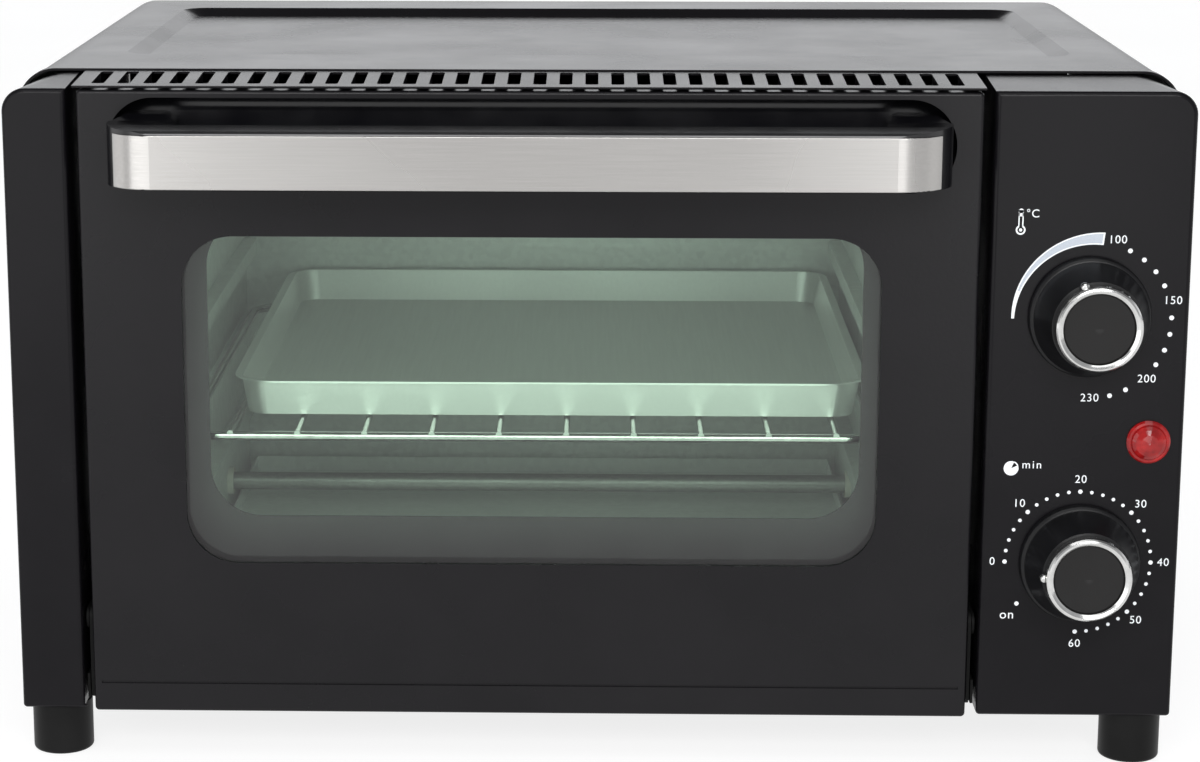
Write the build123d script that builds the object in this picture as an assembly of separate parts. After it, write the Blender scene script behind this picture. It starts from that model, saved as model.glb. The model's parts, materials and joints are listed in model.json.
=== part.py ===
from build123d import *
import os
from math import cos, radians, sin

# A compact free-standing oven with a bottom-hinged glass door and two rotary controls.
# Millimetres. X runs to the viewer's right, Y to the back, Z up. The origin is on the
# table, under the middle of the whole object.

# ---- driving dimensions: the housing ----
HALF_WIDTH = 182.5
FOOT_HEIGHT = 16.5
TOP_Z = 217.7            # top sheet of the cover
HEM_Z = 218.2            # rolled hem along the cover's front edge
HEM_Y = (-82.0, -79.0)   # where the hem starts and ends falling to the top sheet
HEM_NOSE = 0.4
FRONT_Y = -113.0         # face of the pillar, the panel and the door
COVER_FRONT_Y = -85.0
COVER_REAR_Y = 140.0
COVER_CORNER = 12.0
TRIM_TOP_Z = (215.2, 217.1)  # sloping top of the trim pieces, front and rear end
TRIM_CORNERS = (6.7, 16.5)    # their outer upper corner, front and rear end
TRIM_FOOT_CORNER = 1.2
TRIM_EDGE = 1.5
SHEET = 0.7              # housing sheet metal
TRIM_SHEET = 1.0         # pillar and panel
THIN_SHEET = 0.6         # cavity and trays
GAP = 0.1                # between fixed pieces that lie against each other
RECESS_X = (-155.5, 155.5)
RECESS_Y = (-41.0, 111.5)
RECESS_BAND = 5.0        # width of the recess's sloping border
RECESS_DEPTH = 2.6
RECESS_CORNERS = (5.0, 9.0)   # at its floor and at its mouth
SIDE_VENT_ROWS = ((44.0, 66.0), (160.0, 182.0))
SIDE_VENT_COUNT = 14
SIDE_VENT_START = -40.0
SIDE_VENT_PITCH = 9.0
VENT_WIDTH = 3.2
VENT_PITCH = 8.0
CASE_SCREW_XS = (-160.0, 0.0, 160.0)
CASE_SCREW_ZS = (24.0, 209.0)
BASE_X = (-181.5, 181.5)
BASE_Y = (-84.8, 136.2)
BASE_EDGE_Z = 31.0       # height of the base plate's upturned edges

# ---- driving dimensions: the front ----
PILLAR_INNER_X = -162.7
PANEL_INNER_X = 121.15
DOOR_X = (-159.4, 117.7)
DOOR_Z = (15.8, 214.9)
DOOR_BACK_Y = -94.5
DOOR_CORNER = 1.3
DOOR_EDGE = 1.1
WINDOW_X = (-128.4, 88.0)
WINDOW_Z = (65.2, 169.8)
WINDOW_CORNER = 16.0
INNER_WINDOW_X = (-122.8, 83.9)
INNER_WINDOW_Z = (75.8, 173.0)
INNER_WINDOW_CORNER = 16.0
GLASS_Y = (-112.1, -108.9)
GLASS_LAP = 6.0          # glass hidden behind the skin on every side
CLIP_ZS = (82.0, 148.0)
CLIP_HEIGHT = 12.0
CREASE_Z = 25.5
CREASE_WIDTH = 0.9
CREASE_DEPTH = 0.6
CREASE_MARGIN = 2.5      # from the door's edges to the crease's ends
LINTEL_X = (-160.6, 118.2)
LINTEL_TOP_Z = (216.25, 217.7)
LINTEL_FLANGE_Z = 203.0
SLOT_COUNT = 34
SLOT_PITCH = 7.98
SLOT_MIDDLE_X = -21.6
SLOT_SIZE = (4.0, 20.9)
SLOT_CORNER = 1.0
SLOT_MIDDLE_Y = -98.05

# ---- driving dimensions: the handle ----
HANDLE_FRONT_Y = -140.0
HANDLE_X = (-148.0, 107.2)
HANDLE_Z = (188.4, 206.7)
HANDLE_CORNERS = (14.7, 18.0)
HANDLE_BACK_Y = -121.0   # where the bow's corners end and its arms begin
CROWN = ((0.0, 204.85), (0.15, 205.35), (0.6, 205.75), (1.5, 206.0), (2.7, 206.1), (9.5, 206.7))
STRIP = 0.7
STRIP_X = (-145.0, 102.8)
STRIP_TOP_Z = 204.8
BAR_DEPTH = 10.0
GAP_CORNER = 9.0         # between the bar and its arms
ARM_WIDTH = 15.0
ARM_Z = (188.6, 207.7)   # arms at the door's face
ARM_CORNERS = (1.0, 4.0)      # arms at the bar and at the door's face
ARM_TAPER = 0.6          # arms narrower than the bow at the door's face
ARM_ROOT = 19.0          # width there, counted from the bow's end
POCKET_X = (-150.2, 109.7)
POCKET_MIDDLE_Z = 198.3
POCKET_HALF_HEIGHT = 14.4
POCKET_FLAT = 0.2        # half the straight piece left at each rounded end
POCKET_DEPTH = 9.0
POCKET_WALL = 1.2
POCKET_FLOOR_RADIUS = 5.0

# ---- driving dimensions: hinges ----
HINGE_Y = -104.0
HINGE_Z = 22.0
LINK_Z = 44.5            # rivet of the link, above the hinge
LINK_LENGTH = 50.0
PIN_RADIUS = 2.0
RIVET_RADIUS = 1.8
PIN_HOLES = ((HINGE_Z, PIN_RADIUS), (LINK_Z, RIVET_RADIUS))
RUNNING_FIT = 0.05
BRACKET_Z = (19.0, 26.8)
BRACKET_SCREW_XS = (-153.0, 111.3)
BRACKET_SCREW_Z = 24.0
SPRING_Y = (-53.0, 2.0)
SPRING_RADIUS = 3.2
SPRING_PITCH = 4.0
SPRING_WIRE = 0.6
STRAP_OFFSET = (0.7, 1.7)     # out from the door's side
LINK_OFFSET = (2.0, 2.8)      # bracket and link share this layer
HINGE_SIDES = ((DOOR_X[0], -1), (DOOR_X[1], 1))

# ---- driving dimensions: controls ----
CONTROL_X = 151.8
TEMPERATURE_Z = 145.9
TIMER_Z = 67.3
KNOB_RADIUS = 18.8
KNOB_TOP_RADIUS = 13.9
KNOB_DEPTH = 21.0        # projection of the chrome ring
RING_RADIUS = 13.15
RING_BORE = 10.9
BEAD_RADIUS = 1.45
SHAFT_RADIUS = 3.0
TEMPERATURE_POINTER = 340.0   # clockwise from twelve
TIMER_POINTER = 270.0
LAMP_X = 171.6
LAMP_Z = 106.3
LAMP_RADIUS = 6.8
LAMP_HOLE = 5.2
BODY_Y = -111.9          # front of the control bodies, behind the panel
CONTROL_SCREW_OFFSET = 9.5

# ---- driving dimensions: oven ----
CAVITY_X = (-137.0, 95.0)
CAVITY_Y = (-89.9, 131.0)
CAVITY_Z = (32.0, 200.0)
FRAME_Y = (-91.0, -90.3)
FRAME_X = (-161.0, 119.3)
RUNNER_TOPS = (68.0, 97.8, 127.0)
RUNNER_Y = (-80.0, 124.0)
RUNNER_HEIGHT = 6.0
RUNNER_REACH = 5.0
MOUTH_Z = (33.0, 199.0)
MOUTH_CORNER = 6.0
HEATER_RADIUS = 3.25
UPPER_HEATERS = ((-15.0, 188.0), (65.0, 188.0))
LOWER_HEATERS = ((-20.0, 46.0), (62.0, 46.0))
INSULATOR_RADIUS = 5.0
RACK_Z = 99.6
RACK_X = (-132.5, 90.5)
RACK_Y = (-85.0, 125.0)
RACK_CORNER = 10.0
FRAME_WIRE = 1.5
CROSS_WIRE = 1.0
CROSS_COUNT = 10
CROSS_PITCH = 21.65
CROSS_MIDDLE_X = -20.2
TRAY_X = (-119.0, 89.0)
TRAY_Y = (-70.0, 129.0)
TRAY_Z = (102.3, 114.3)
TRAY_RIM = 2.4
TRAY_FLARE = 2.0
TRAY_CORNER = 7.0
CRUMB_X = (-134.0, 92.0)
CRUMB_Y = (-85.5, 128.0)
CRUMB_Z = (32.4, 38.8)

# ---- driving dimensions: back and underside ----
REAR_PANEL_Y = (136.3, 137.0)
FOOT_RADIUS = 9.6
FRONT_FEET = ((-171.8, -101.2), (171.8, -101.2))
REAR_FEET = ((-171.8, 118.0), (171.8, 118.0))
FOOT_SEAT_Z = 9.0        # under the head of the foot's screw
FOOT_SCREW = 2.0
CASE_SCREW = 1.6
GLAND = (150.0, 44.0)    # X and Z
GLAND_BORE = 3.6
GLAND_RADIUS = 6.0


# ---- plain shapes ----

def block(x, y, z):
    """Box between the low and high limits of each axis."""
    limits = (x, y, z)
    size = [high - low for low, high in limits]
    middle = [(low + high) / 2 for low, high in limits]
    return Pos(*middle) * Box(*size)


def rod_x(x, y, z, radius):
    plane = Plane((x[0], y, z), x_dir=(0, 1, 0), z_dir=(1, 0, 0))
    return plane * extrude(Circle(radius), x[1] - x[0])


def rod_y(x, y, z, radius):
    plane = Plane((x, y[1], z), x_dir=(1, 0, 0), z_dir=(0, -1, 0))
    return plane * extrude(Circle(radius), y[1] - y[0])


def rod_z(x, y, z, radius):
    return Pos(x, y, z[0]) * extrude(Circle(radius), z[1] - z[0])


def front_prism(sketch, y):
    """Front-view sketch (x across, y up) extruded between the two depths y."""
    plane = Plane((0, y[1], 0), x_dir=(1, 0, 0), z_dir=(0, -1, 0))
    return plane * extrude(sketch, y[1] - y[0])


def side_prism(points, x):
    """Closed outline of (Y, Z) points extruded between the two widths x."""
    plane = Plane((x[0], 0, 0), x_dir=(0, 1, 0), z_dir=(1, 0, 0))
    return plane * extrude(make_face(Polyline(*points, close=True)), x[1] - x[0])


def rounded(x, z, radius):
    """Rounded rectangle between limits."""
    middle = Pos((x[0] + x[1]) / 2, (z[0] + z[1]) / 2)
    return middle * RectangleRounded(x[1] - x[0], z[1] - z[0], radius)


def grown(limits, amount):
    return (limits[0] - amount, limits[1] + amount)


def turned(points, y_front):
    """Solid of revolution about the Y direction. Points are (radius, depth in front)."""
    outline = [(radius, y_front - depth) for radius, depth in points]
    return revolve(make_face(Polyline(*outline, close=True)), Axis.Y)


def along(point, direction, solid):
    """Place a solid made along +Z so that it points in a direction."""
    return Plane(point, z_dir=direction) * solid


def pan_screw(point, direction, radius, length):
    """Pan-head screw with a cross recess; the head's underside is at point, facing direction."""
    head_height = radius * 1.1
    head = Cylinder(radius * 1.9, head_height, align=(Align.CENTER, Align.CENTER, Align.MIN))
    head = fillet(head.edges().group_by(Axis.Z)[-1], head_height * 0.6)
    recess = Box(radius * 2.0, radius * 0.5, radius) + Box(radius * 0.5, radius * 2.0, radius)
    head -= Pos(0, 0, head_height) * recess
    shank = Cylinder(radius, length, align=(Align.CENTER, Align.CENTER, Align.MAX))
    return along(point, direction, head + shank)


def slots(count, pitch, middle, cutter):
    """Copies of a cutter in a row along X, centred on middle."""
    start = middle - pitch * (count - 1) / 2
    return [Pos(start + pitch * i, 0, 0) * cutter for i in range(count)]


# ---- housing ----

def recess_solid(drop):
    """The shallow dish in the top of the cover, lowered by drop."""
    floor_corner, mouth_corner = RECESS_CORNERS
    mouth = Pos(0, 0, TOP_Z - drop) * rounded(RECESS_X, RECESS_Y, mouth_corner)
    floor_outline = rounded(grown(RECESS_X, -RECESS_BAND), grown(RECESS_Y, -RECESS_BAND), floor_corner)
    return loft([Pos(0, 0, TOP_Z - drop - RECESS_DEPTH) * floor_outline, mouth])


def cover_solid(inset, y, top_z):
    """Outer form of the cover, shrunk by inset, with rounded upper side corners."""
    solid = block((-HALF_WIDTH + inset, HALF_WIDTH - inset), y, (FOOT_HEIGHT - inset, top_z - inset))
    edges = solid.edges().filter_by(Axis.Y).group_by(Axis.Z)[-1]
    return fillet(edges, COVER_CORNER - inset)


def cover_hem(inset):
    """The cover's form raised to the hem at the front, falling back to the top sheet."""
    start, end = HEM_Y
    front_y = COVER_FRONT_Y - 2 * inset
    outline = [
        (front_y, 0), (front_y, HEM_Z - inset - HEM_NOSE), (front_y + HEM_NOSE, HEM_Z - inset),
        (start, HEM_Z - inset), (end, TOP_Z - inset), (end, 0),
    ]
    width = (-HALF_WIDTH - 1, HALF_WIDTH + 1)
    return cover_solid(inset, (front_y, end), HEM_Z) & side_prism(outline, width)


def side_vents():
    """Two rows of upright slots through both side walls."""
    cutters = []
    for z in SIDE_VENT_ROWS:
        for i in range(SIDE_VENT_COUNT):
            y = SIDE_VENT_START + SIDE_VENT_PITCH * i
            cutters.append(block((-HALF_WIDTH - 1, HALF_WIDTH + 1), (y, y + VENT_WIDTH), z))
    return cutters


def case_screw_holes(y, zs):
    return [rod_y(x, y, z, CASE_SCREW + RUNNING_FIT) for x in CASE_SCREW_XS for z in zs]


def outer_cover():
    """Top and sides folded from one sheet, with a joggled lip for the rear panel's screws."""
    outer = cover_solid(0, (COVER_FRONT_Y, COVER_REAR_Y), TOP_Z) + cover_hem(0) - recess_solid(0)
    inner = cover_solid(SHEET, (COVER_FRONT_Y - 1, COVER_REAR_Y + 1), TOP_Z) - recess_solid(SHEET)
    shell = outer - inner - cover_hem(SHEET) - side_vents()
    lip_x, lip_y = (-172, 172), (135.5, 136.2)
    step_z = (TOP_Z - 4.3, TOP_Z - 3.6)
    hanger_y = (139.2, 139.9)
    lip = block(lip_x, lip_y, (203, step_z[1]))
    riser = block(lip_x, (lip_y[0], hanger_y[1]), step_z)
    hanger = block(lip_x, hanger_y, (step_z[0], TOP_Z - 0.5))
    shell += [lip, riser, hanger]
    return shell - case_screw_holes(grown(lip_y, 1), CASE_SCREW_ZS[1:])


def vent_cutters(z, y, count, middle):
    slot = block((-VENT_WIDTH / 2, VENT_WIDTH / 2), y, z)
    return slots(count, VENT_PITCH, middle, slot)


def rear_panel():
    """Flat back sheet with three fields of upright vents and the hole for the cord gland."""
    panel = block(BASE_X, REAR_PANEL_Y, (17.7, 213.2))
    panel = fillet(panel.edges().filter_by(Axis.Y).group_by(Axis.Z)[-1], 7.0)
    depth = grown(REAR_PANEL_Y, 1)
    cutters = vent_cutters((160.0, 182.0), depth, 16, -60.0)
    cutters += vent_cutters((52.0, 74.0), depth, 16, -60.0)
    cutters += vent_cutters((96.0, 118.0), depth, 6, 146.0)
    cutters.append(rod_y(GLAND[0], depth, GLAND[1], GLAND_RADIUS + GAP))
    return panel - cutters - case_screw_holes(depth, CASE_SCREW_ZS)


def base_plate():
    """Floor of the housing, with upturned edges at the sides and the back."""
    low_z, high_z = FOOT_HEIGHT, FOOT_HEIGHT + SHEET
    left, right = BASE_X
    back_y = (BASE_Y[1] - SHEET, BASE_Y[1])
    floor = block(BASE_X, BASE_Y, (low_z, high_z))
    sides = [block(x, BASE_Y, (low_z, BASE_EDGE_Z)) for x in ((left, left + SHEET), (right - SHEET, right))]
    back = block(BASE_X, back_y, (low_z, BASE_EDGE_Z))
    slot = block((-VENT_WIDTH / 2, VENT_WIDTH / 2), (-30.0, 10.0), (low_z - 1, high_z + 1))
    cutters = slots(12, 2 * VENT_PITCH, -21.0, slot) + slots(5, VENT_PITCH, 150.0, slot)
    cutters += [foot_hole(x, y) for x, y in REAR_FEET]
    return floor + sides + back - cutters - case_screw_holes(grown(back_y, 1), CASE_SCREW_ZS[:1])


def front_frame():
    """Sheet round the oven's mouth, behind the door, with a foot flange."""
    low_z = 17.5
    sheet = front_prism(rounded(FRAME_X, (low_z, 214.2), 1.0), FRAME_Y)
    mouth = rounded(CAVITY_X, MOUTH_Z, MOUTH_CORNER)
    flange = block((-150, 108), (FRAME_Y[0], -82.0), (low_z, low_z + SHEET))
    depth = grown(FRAME_Y, 1)
    holes = [rod_y(x, depth, BRACKET_SCREW_Z, CASE_SCREW + RUNNING_FIT) for x in BRACKET_SCREW_XS]
    return sheet + flange - front_prism(mouth, depth) - holes


def trim_section(x, outer_x, inset, y):
    """Upright section of a trim piece at depth y; its outer upper corner opens to the rear."""
    share = (y - FRONT_Y) / (COVER_FRONT_Y - FRONT_Y)
    top_z = TRIM_TOP_Z[0] + (TRIM_TOP_Z[1] - TRIM_TOP_Z[0]) * share - inset
    corner = TRIM_CORNERS[0] + (TRIM_CORNERS[1] - TRIM_CORNERS[0]) * share - inset
    low_z = FOOT_HEIGHT + inset
    left, right = grown(x, -inset)
    outline = Pos((left + right) / 2, (low_z + top_z) / 2) * Rectangle(right - left, top_z - low_z)
    upper = outline.vertices().group_by(Axis.Y)[-1].sort_by(Axis.X)
    outline = fillet(upper[0 if outer_x < 0 else -1], corner)
    outline = fillet(outline.vertices().group_by(Axis.Y)[0], TRIM_FOOT_CORNER)
    return Plane((0, y, 0), x_dir=(1, 0, 0), z_dir=(0, -1, 0)) * outline


def trim_solid(x, outer_x, inset, y):
    return loft([trim_section(x, outer_x, inset, depth) for depth in y])


def trim_shell(x, outer_x):
    """Folded sheet front piece: face, sides, top and bottom, open at the back."""
    outer = trim_solid(x, outer_x, 0, (FRONT_Y, COVER_FRONT_Y - GAP))
    outer = fillet(outer.faces().sort_by(Axis.Y)[0].edges(), TRIM_EDGE)
    return outer - trim_solid(x, outer_x, TRIM_SHEET, (FRONT_Y + TRIM_SHEET, COVER_FRONT_Y + 1))


def foot_hole(x, y):
    return rod_z(x, y, (FOOT_HEIGHT - 1, FOOT_HEIGHT + 2), FOOT_SCREW + RUNNING_FIT)


def left_pillar():
    shell = trim_shell((-HALF_WIDTH, PILLAR_INNER_X), -HALF_WIDTH)
    return shell - foot_hole(*FRONT_FEET[0])


def control_screw_points():
    """Two fixing screws beside each shaft, hidden by the knobs."""
    xs = (CONTROL_X - CONTROL_SCREW_OFFSET, CONTROL_X + CONTROL_SCREW_OFFSET)
    return [(x, z) for z in (TEMPERATURE_Z, TIMER_Z) for x in xs]


def control_panel():
    shell = trim_shell((PANEL_INNER_X, HALF_WIDTH), HALF_WIDTH)
    depth = (FRONT_Y - 1, FRONT_Y + 3)
    holes = [foot_hole(*FRONT_FEET[1]), rod_y(LAMP_X, depth, LAMP_Z, LAMP_HOLE)]
    holes += [rod_y(CONTROL_X, depth, z, SHAFT_RADIUS + 1.5) for z in (TEMPERATURE_Z, TIMER_Z)]
    holes += [rod_y(x, depth, z, CASE_SCREW + RUNNING_FIT) for x, z in control_screw_points()]
    return shell - holes


def vent_lintel():
    """Slotted strip above the door, hung on the front frame by a flange behind it."""
    front_z, rear_z = LINTEL_TOP_Z
    back_y = COVER_FRONT_Y - GAP
    slope = (rear_z - front_z) / (back_y - FRONT_Y)
    flange_y = FRAME_Y[1] + GAP
    flange_z = front_z + slope * (flange_y - FRONT_Y) - SHEET / 2
    outline = [(FRONT_Y, front_z), (back_y, rear_z), (back_y, rear_z - SHEET), (FRONT_Y, front_z - SHEET)]
    top = side_prism(outline, LINTEL_X)
    top = fillet(top.faces().sort_by(Axis.Y)[0].edges().filter_by(Axis.X), 0.3)
    flange = block(LINTEL_X, (flange_y, flange_y + SHEET), (LINTEL_FLANGE_Z, flange_z))
    cutter = Pos(0, SLOT_MIDDLE_Y, 210) * extrude(RectangleRounded(*SLOT_SIZE, SLOT_CORNER), 10)
    return top + flange - slots(SLOT_COUNT, SLOT_PITCH, SLOT_MIDDLE_X, cutter)


# ---- door ----

def pocket_outline(inset):
    """Front-view outline of the finger recess, with half-round ends."""
    half = POCKET_HALF_HEIGHT - inset
    z = (POCKET_MIDDLE_Z - half, POCKET_MIDDLE_Z + half)
    return rounded(grown(POCKET_X, -inset), z, half - POCKET_FLAT)


def crease(half_width, depth):
    """Bar along the pressed line across the foot of the door."""
    z = (CREASE_Z - half_width, CREASE_Z + half_width)
    return block(grown(DOOR_X, -CREASE_MARGIN), depth, z)


def door_skin():
    """Pressed outer sheet of the door with returned edges."""
    outer = block(DOOR_X, (FRONT_Y, DOOR_BACK_Y - 0.4), DOOR_Z)
    outer = fillet(outer.edges().filter_by(Axis.Y), DOOR_CORNER)
    outer = fillet(outer.faces().sort_by(Axis.Y)[0].edges(), DOOR_EDGE)
    inner = block(grown(DOOR_X, -SHEET), (FRONT_Y + SHEET, 0), grown(DOOR_Z, -SHEET))
    inner = fillet(inner.faces().sort_by(Axis.Y)[0].edges(), DOOR_EDGE - SHEET)
    depth = (FRONT_Y - 1, FRONT_Y + 5)
    window = front_prism(rounded(WINDOW_X, WINDOW_Z, WINDOW_CORNER), depth)
    pocket = front_prism(pocket_outline(0), depth)
    pins = [rod_x((x - 2, x + 2), HINGE_Y, z, r) for x, _ in HINGE_SIDES for z, r in PIN_HOLES]
    rib = crease(CREASE_WIDTH, (FRONT_Y + CREASE_DEPTH, FRONT_Y + CREASE_DEPTH + SHEET))
    groove = crease(CREASE_WIDTH / 2, (FRONT_Y - 1, FRONT_Y + CREASE_DEPTH))
    return outer - inner - window - pocket - pins + rib - groove


def door_inner_frame():
    """Back sheet of the door, a pan whose edge turns forward inside the skin."""
    margin = SHEET + 0.2
    x, z = grown(DOOR_X, -margin), grown(DOOR_Z, -margin)
    y = (DOOR_BACK_Y - 6.0, DOOR_BACK_Y)
    pan = block(x, y, z) - block(grown(x, -SHEET), (y[0] - 1, DOOR_BACK_Y - SHEET), grown(z, -SHEET))
    window = rounded(INNER_WINDOW_X, INNER_WINDOW_Z, INNER_WINDOW_CORNER)
    return pan - front_prism(window, grown((DOOR_BACK_Y - SHEET, DOOR_BACK_Y), 2))


def door_glass():
    pane = front_prism(rounded(grown(WINDOW_X, GLASS_LAP), grown(WINDOW_Z, GLASS_LAP), 3.0), GLASS_Y)
    return chamfer(pane.faces().sort_by(Axis.Y)[0].edges(), 0.3)


def glass_clips():
    """Z-shaped clips that press the glass against the skin, two on each upright edge."""
    clips = []
    face_y = FRONT_Y + SHEET + GAP
    back_y = GLASS_Y[1] + GAP
    left, right = grown(WINDOW_X, GLASS_LAP)
    for edge_x, side in ((left, -1), (right, 1)):
        near, far = edge_x + side * THIN_SHEET, edge_x + side * 10.0
        wall, inside = edge_x + side * 2 * THIN_SHEET, edge_x - side * 3.5
        for low_z in CLIP_ZS:
            z = (low_z, low_z + CLIP_HEIGHT)
            foot = block(sorted((wall, far)), (face_y, face_y + THIN_SHEET), z)
            riser = block(sorted((near, wall)), (face_y, back_y + THIN_SHEET), z)
            tongue = block(sorted((inside, wall)), (back_y, back_y + THIN_SHEET), z)
            clips.append(foot + riser + tongue)
    return clips


# ---- handle ----

def bar_plan(inset, back_y, z):
    """Plan of the bow: a block with rounded front corners, from the bar's face to back_y."""
    solid = block(grown(HANDLE_X, -inset), (HANDLE_FRONT_Y + inset, back_y), z)
    for end, corner in zip((0, -1), HANDLE_CORNERS):
        edges = solid.edges().filter_by(Axis.Z).group_by(Axis.X)[end].sort_by(Axis.Y)
        solid = fillet(edges[0], corner - inset)
    return solid


def bar():
    """The bar with its two corners, let in for the strip and sloping above it."""
    low_z, top_z = HANDLE_Z
    outline = [(HANDLE_FRONT_Y + depth, z) for depth, z in CROWN]
    outline += [(HANDLE_BACK_Y, top_z), (HANDLE_BACK_Y, low_z), (HANDLE_FRONT_Y, low_z)]
    solid = bar_plan(0, HANDLE_BACK_Y, HANDLE_Z) & side_prism(outline, HANDLE_X)
    seat_y = (HANDLE_FRONT_Y - 1, HANDLE_BACK_Y)
    seat = block(grown(STRIP_X, RUNNING_FIT), seat_y, (low_z - 1, STRIP_TOP_Z + RUNNING_FIT))
    seat -= bar_plan(STRIP + RUNNING_FIT, HANDLE_BACK_Y + 1, grown(HANDLE_Z, 2))
    gap = block(grown(HANDLE_X, -ARM_WIDTH), (HANDLE_FRONT_Y + BAR_DEPTH, FRONT_Y), grown(HANDLE_Z, 2))
    gap = fillet(gap.faces().sort_by(Axis.Y)[0].edges().filter_by(Axis.Z), GAP_CORNER)
    return solid - seat - gap


def handle_arm(outer_x, side):
    """Arm from the bar into the recess, opening out slightly at the door's face."""
    x = tuple(sorted((outer_x, outer_x - side * ARM_WIDTH)))
    start = rounded(x, HANDLE_Z, ARM_CORNERS[0])
    root_x = tuple(sorted((outer_x - side * ARM_TAPER, outer_x - side * ARM_ROOT)))
    end = rounded(root_x, ARM_Z, ARM_CORNERS[1])
    sections = [(HANDLE_BACK_Y, start), (FRONT_Y, end)]
    planes = [Plane((0, y, 0), x_dir=(1, 0, 0), z_dir=(0, -1, 0)) * outline for y, outline in sections]
    return loft(planes) + front_prism(end, (FRONT_Y, FRONT_Y + POCKET_DEPTH + 0.5))


def handle():
    """Recess dish behind the skin, two arms and the bar, moulded as one piece."""
    floor_y = FRONT_Y + POCKET_DEPTH
    dish = front_prism(pocket_outline(-POCKET_WALL), (FRONT_Y + SHEET + GAP, floor_y + POCKET_WALL))
    hollow = front_prism(pocket_outline(0), (FRONT_Y - 2, floor_y))
    hollow = fillet(hollow.faces().sort_by(Axis.Y)[-1].edges(), POCKET_FLOOR_RADIUS)
    arms = [handle_arm(HANDLE_X[0], -1), handle_arm(HANDLE_X[1], 1)]
    body = dish - hollow + bar() + arms
    pilots = [rod_y(x, (FRONT_Y - 8, floor_y + 2), POCKET_MIDDLE_Z, 1.75) for x in handle_screw_xs()]
    return body - pilots


def handle_screw_xs():
    return (HANDLE_X[0] + ARM_WIDTH / 2, HANDLE_X[1] - ARM_WIDTH / 2)


def handle_screws():
    y = FRONT_Y + POCKET_DEPTH + POCKET_WALL
    return [pan_screw((x, y, POCKET_MIDDLE_Z), (0, 1, 0), 1.7, 16.0) for x in handle_screw_xs()]


def handle_strip():
    """Steel strip wrapped round the front of the bar and part of its two corners."""
    z = (HANDLE_Z[0], STRIP_TOP_Z)
    strip = bar_plan(0, HANDLE_BACK_Y, z) - bar_plan(STRIP, HANDLE_BACK_Y + 1, grown(z, 1))
    strip = strip & block(STRIP_X, (HANDLE_FRONT_Y - 1, HANDLE_BACK_Y), grown(z, 1))
    long_edges = strip.faces().sort_by(Axis.Y)[0].edges().filter_by(Axis.X)
    return fillet(long_edges, 0.3)


# ---- hinges ----

def layer(side_x, side, offsets):
    return tuple(sorted(side_x + side * value for value in offsets))


def hinge_straps():
    """Upright straps on the door's sides, carrying the pins and rivets."""
    straps = []
    for side_x, side in HINGE_SIDES:
        x = layer(side_x, side, STRAP_OFFSET)
        plate = block(x, (HINGE_Y - 4.0, HINGE_Y + 4.0), (HINGE_Z - 4.0, LINK_Z + 4.0))
        plate = fillet(plate.edges().filter_by(Axis.X), 3.5)
        straps.append(plate - [rod_x(grown(x, 1), HINGE_Y, z, r) for z, r in PIN_HOLES])
    return straps


def hinge_pins(z, radius):
    """Headed pins through the door's side, the strap and the outer layer."""
    pins = []
    for side_x, side in HINGE_SIDES:
        shank = rod_x(layer(side_x, side, (-2.0, LINK_OFFSET[1] + 0.1)), HINGE_Y, z, radius)
        head = rod_x(layer(side_x, side, (-2.6, -SHEET - 0.05)), HINGE_Y, z, radius + 1.0)
        collar = rod_x(layer(side_x, side, (0.05, STRAP_OFFSET[0] - 0.05)), HINGE_Y, z, radius + 0.8)
        pins.append(shank + head + collar)
    return pins


def hinge_bracket(side_x, side):
    """Fixed ear beside the door, folded behind the front frame."""
    x = layer(side_x, side, LINK_OFFSET)
    flange_y = (FRAME_Y[1] + GAP, FRAME_Y[1] + GAP + SHEET)
    ear = block(x, (HINGE_Y - 4.5, flange_y[1]), BRACKET_Z)
    flange = block(layer(side_x, side, (-10.5, LINK_OFFSET[1])), flange_y, BRACKET_Z)
    bore = rod_x(grown(x, 1), HINGE_Y, HINGE_Z, PIN_RADIUS + RUNNING_FIT)
    screw_x = BRACKET_SCREW_XS[0 if side < 0 else 1]
    hole = rod_y(screw_x, grown(flange_y, 1), BRACKET_SCREW_Z, CASE_SCREW + RUNNING_FIT)
    return ear + flange - bore - hole


def bracket_screws():
    y = FRAME_Y[1] + GAP + SHEET
    return [pan_screw((x, y, BRACKET_SCREW_Z), (0, 1, 0), CASE_SCREW, 2.0) for x in BRACKET_SCREW_XS]


def hinge_link(side_x, side):
    """Flat bar from the door's rivet through the gap beside the frame, hooked at its tail."""
    x = layer(side_x, side, LINK_OFFSET)
    bar = block(x, (HINGE_Y - 3.5, HINGE_Y + LINK_LENGTH), (LINK_Z - 3.5, LINK_Z + 3.5))
    bar = fillet(bar.edges().filter_by(Axis.X), 3.2)
    bore = rod_x(grown(x, 1), HINGE_Y, LINK_Z, RIVET_RADIUS + RUNNING_FIT)
    eye = rod_x(grown(x, 1), HINGE_Y + LINK_LENGTH - 4.0, LINK_Z, 1.4)
    return bar - bore - eye


def hinge_springs():
    """Coil springs behind the links, drawn at their length with the door closed."""
    springs = []
    for side_x, side in HINGE_SIDES:
        x = side_x + side * sum(LINK_OFFSET) / 2
        path = Helix(pitch=SPRING_PITCH, height=SPRING_Y[1] - SPRING_Y[0], radius=SPRING_RADIUS)
        wire = sweep(Plane(path @ 0, z_dir=path % 0) * Circle(SPRING_WIRE), path, is_frenet=True)
        springs.append(Plane((x, SPRING_Y[0], LINK_Z), z_dir=(0, 1, 0)) * wire)
    return springs


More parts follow.
